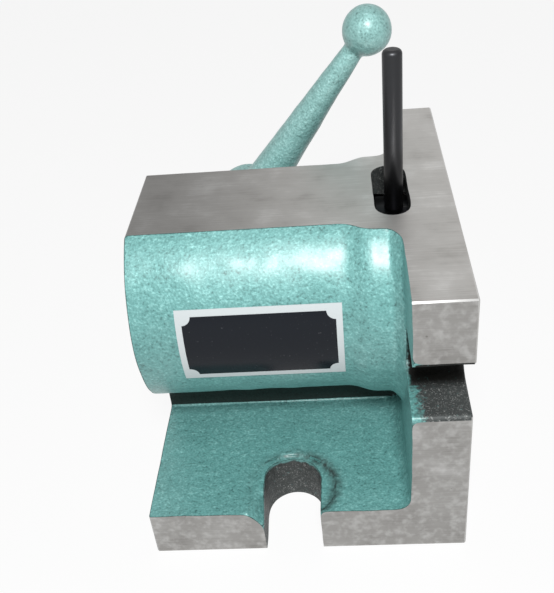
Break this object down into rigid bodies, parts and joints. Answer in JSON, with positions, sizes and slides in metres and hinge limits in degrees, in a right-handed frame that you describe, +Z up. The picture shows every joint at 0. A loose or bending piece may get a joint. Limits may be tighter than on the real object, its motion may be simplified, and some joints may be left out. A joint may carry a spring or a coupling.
{
  "type": "lever collet fixture",
  "caption": "Angle-shaped cast-iron collet fixture with a cam lever, a barrel for round collets, a spanner rod and ground mounting faces with clamping slots.",
  "frame": {"origin": "under the middle of the base, on its ground underside", "axes": "+X along the collet axis from the mouth to the end wall, +Y across the base towards the lever, +Z up"},
  "size_m": [0.108, 0.134, 0.1521],
  "materials": {
    "painted_casting": "teal hammered enamel on cast iron, with ground bare faces",
    "hardened_steel": "ground",
    "black_oxide_steel": "black oxide",
    "bronze": "turned",
    "seal_rubber": "matt",
    "plate_print": "gloss black field with a white border, no text"
  },
  "bodies": {
    "fixture": {"body_casting": "painted_casting", "collet_seat": "hardened_steel", "seat_key_pin": "hardened_steel", "seat_lock_screw": "black_oxide_steel", "sleeve_guide_screw": "black_oxide_steel", "shaft_bush": "bronze", "shaft_retaining_screw": "black_oxide_steel", "shaft_washer": "hardened_steel", "lever_stop_pin": "hardened_steel", "name_plate": "plate_print"},
    "cam_lever": {"cam_shaft": "hardened_steel", "lever": "painted_casting", "lever_pin": "hardened_steel", "shaft_seal_ring": "seal_rubber"},
    "drawbar": {"draw_sleeve": "hardened_steel", "thrust_washer": "hardened_steel", "nut_retaining_screws": "black_oxide_steel"},
    "nut": {"draw_nut": "black_oxide_steel", "spanner_rod": "black_oxide_steel"}
  },
  "joints": [
    {"name": "lever_turn", "type": "hinge", "parent": "fixture", "child": "cam_lever", "pos_m": [-0.0217, 0.058, 0.07], "axis": [0, 1, 0], "range_deg": [-90, 0]},
    {"name": "draw_slide", "type": "slide", "parent": "fixture", "child": "drawbar", "axis": [1, 0, 0], "range_m": [-0.00227, 0]},
    {"name": "nut_turn", "type": "hinge", "parent": "drawbar", "child": "nut", "pos_m": [0.0348, 0, 0.07], "axis": [1, 0, 0], "range_deg": [-17, 17]}
  ],
  "couplings": [
    {"joint": "draw_slide", "follows": "lever_turn", "m_per_rad": 0.00144}
  ]
}
